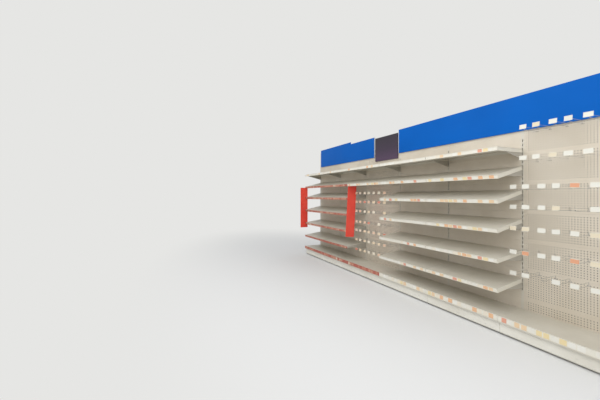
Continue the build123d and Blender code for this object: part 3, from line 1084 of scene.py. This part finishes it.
def fixings():
    """Screws through the rails into the header band, and bolts at the ends of the tie beams."""
    screw_pitch, bolt_inset = 300 * mm, 20 * mm
    low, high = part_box("header_rails")
    middle = (low.z + high.z) / 2
    across = [x + step * screw_pitch for x in bay_centres for step in (-1, 0, 1)]
    places = [((x, high.y, middle), math.pi) for x in across]
    set_out("header_rail_screws", screw, places, foot_zinc, "foot_steel")
    low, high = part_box("tie_beams")
    reach = bay_pitch / 2 - post_width / 2 - bolt_inset
    heights = (low.z + tie_height / 2, high.z - tie_height / 2)
    places = [
        ((x + side * reach, high.y, z), math.pi) for x in bay_centres for z in heights for side in (-1, 1)
    ]
    set_out("tie_beam_bolts", bolt, places, foot_zinc, "foot_steel")


# The trees and forms, and then every piece made with them
set_out_on_points = setting_out_tree()
perforate_and_stack = perforating_tree()
hook = hook_form()
cell = cell_form()
holder = holder_form(72 * mm, 48 * mm)
hook_card = card_form("hook_card", 70 * mm, 44.5 * mm, corner=mm, lift=mm)
foot = foot_form()
screw = screw_form()
bolt = bolt_form()
shelf_card = card_form("shelf_card", 57 * mm, 38.5 * mm)
base_card = card_form("base_card", 57 * mm, 52 * mm)

dress_frame()
for bay, cards in ((1, hook_cards), (4, peach_hook_cards)):
    perforated_panels(bay)
    hooks(bay, cards)
for bay in range(1, 7):
    strip_tickets(bay)
feet()
fixings()
for form in (hook, cell, holder, hook_card, shelf_card, base_card, foot, screw, bolt):
    bpy.data.objects.remove(form)


# Stage: a pale floor, and a dark board close behind the run: painted shade for the space behind the sheets
backdrop_tone = linear("#E6E6E4")


def stage_floor():
    """A pale floor that keeps the run's shadow and fades into the backdrop away from it.

    The fade starts and ends at these distances across the run, and it is slower along it.
    """
    half, fade_start, fade_end, pace_along = 40.0, 1.2, 4.5, 0.45
    mesh = bpy.data.meshes.new("floor")
    corners = [(-half, -half, 0), (half, -half, 0), (half, half, 0), (-half, half, 0)]
    mesh.from_pydata(corners, [], [(0, 1, 2, 3)])
    floor = link("floor", mesh)
    material, tree, shader, place = start_material("pale_studio_floor", Roughness=0.9, IOR=1.3)
    shader.inputs["Base Color"].default_value = linear("#E4E4E2")
    out = tree.nodes["Material Output"]
    squeezed = put(tree, "ShaderNodeMapping", None, {"Vector": place, "Scale": (pace_along, 1.0, 1.0)})
    far = put(tree, "ShaderNodeVectorMath", {"operation": "LENGTH"}, {0: squeezed}).outputs["Value"]
    fade = put(
        tree,
        "ShaderNodeMapRange",
        {"interpolation_type": "SMOOTHSTEP"},
        {"Value": far, "From Min": fade_start, "From Max": fade_end},
    )
    glow = put(tree, "ShaderNodeEmission", None, {"Color": backdrop_tone, "Strength": 1.0})
    blend = put(tree, "ShaderNodeMixShader", None, {0: fade, 1: shader, 2: glow})
    tree.links.new(blend.outputs[0], out.inputs["Surface"])
    mesh.materials.append(material)


def stage_painted_shade_board():
    """A board that only the camera sees, from its front: painted shade that makes the space behind the sheets
    dark.
    """
    y = wall_y + 2 * mm
    low_x, high_x = joints[-1] - post_width / 2, joints[0] + post_width / 2
    high_z = posts[0][1].z
    mesh = bpy.data.meshes.new("wall_board")
    corners = [(low_x, y, 0), (high_x, y, 0), (high_x, y, high_z), (low_x, y, high_z)]
    mesh.from_pydata(corners, [], [(0, 1, 2, 3)])
    board = link("wall_board", mesh)
    material, tree, shader, place = start_material("painted_shade_board_finish", Roughness=0.9)
    # Near black: painted shade in the gap between the sheets and the wall
    shader.inputs["Base Color"].default_value = linear("#1E1D1B")
    out = tree.nodes["Material Output"]
    path = put(tree, "ShaderNodeLightPath").outputs["Is Camera Ray"]
    front = put(tree, "ShaderNodeNewGeometry").outputs["Backfacing"]
    seen = put(tree, "ShaderNodeMath", {"operation": "SUBTRACT", "use_clamp": True}, {0: path, 1: front})
    clear = put(tree, "ShaderNodeBsdfTransparent")
    blend = put(tree, "ShaderNodeMixShader", None, {0: seen, 1: clear, 2: shader})
    tree.links.new(blend.outputs[0], out.inputs["Surface"])
    mesh.materials.append(material)


# Each lamp's name, where it hangs, what it points at, its width and height in metres, and its watts
soft_panels = [
    ("ceiling_panel", (1.2, -3.2, 4.6), (0.7, 0.2, 1.0), (8.6, 5.0), 164.0),
    ("near_panel", (6.5, -4.0, 3.2), (0.5, 0, 1.2), (3.0, 3.0), 72.0),
]
sky_strength = 0.68


def studio_light():
    """A large soft panel overhead in front, a smaller one towards the near end, and an even sky."""
    for name, place, aim, size, power in soft_panels:
        data = bpy.data.lights.new(name, "AREA")
        data.shape = "RECTANGLE"
        data.size, data.size_y = size
        data.energy = power
        lamp = bpy.data.objects.new(name, data)
        bpy.context.scene.collection.objects.link(lamp)
        lamp.location = place
        lamp.rotation_euler = (Vector(aim) - Vector(place)).to_track_quat("-Z", "Y").to_euler()
    world = bpy.data.worlds.new("studio")
    bpy.context.scene.world = world
    world.use_nodes = True
    tree = world.node_tree
    tree.nodes.clear()
    path = put(tree, "ShaderNodeLightPath").outputs
    seen = put(
        tree,
        "ShaderNodeMath",
        {"operation": "MAXIMUM"},
        {0: path["Is Camera Ray"], 1: path["Is Glossy Ray"]},
    )
    seen = put(tree, "ShaderNodeMath", {"operation": "MAXIMUM"}, {0: seen, 1: path["Is Transmission Ray"]})
    sky = put(tree, "ShaderNodeBackground", None, {"Color": linear("#F4F6FA"), "Strength": sky_strength})
    shown = put(tree, "ShaderNodeBackground", None, {"Color": backdrop_tone, "Strength": 1.0})
    both = put(tree, "ShaderNodeMixShader", None, {0: seen, 1: sky, 2: shown})
    put(tree, "ShaderNodeOutputWorld", None, {"Surface": both})


# The camera stands where the photograph's did, level, turned towards the shelves
camera_from_near_end = 1.077
camera_from_strips = 3.353
camera_height = 1.553
camera_turn = math.radians(24.39)
focal_pixels = 294.0
image_width = 600
image_middle = 200.0
horizon_row = 195.5


def stand_camera():
    """A level camera: the horizon's row is met by a shift of the lens and not by a tilt."""
    data = bpy.data.cameras.new("camera")
    data.sensor_width = 36.0
    data.lens = focal_pixels / image_width * data.sensor_width
    data.shift_y = (horizon_row - image_middle) / image_width
    data.clip_end = 200.0
    camera = bpy.data.objects.new("camera", data)
    bpy.context.scene.collection.objects.link(camera)
    strip_front = shelf_front - touch - strip_lip
    camera.location = (joints[0] + camera_from_near_end, strip_front - camera_from_strips, camera_height)
    ahead = Vector((-math.cos(camera_turn), math.sin(camera_turn), 0))
    camera.rotation_euler = ahead.to_track_quat("-Z", "Y").to_euler()
    bpy.context.scene.camera = camera


stage_floor()
stage_painted_shade_board()
studio_light()
stand_camera()
bpy.context.scene.view_settings.view_transform = "Standard"
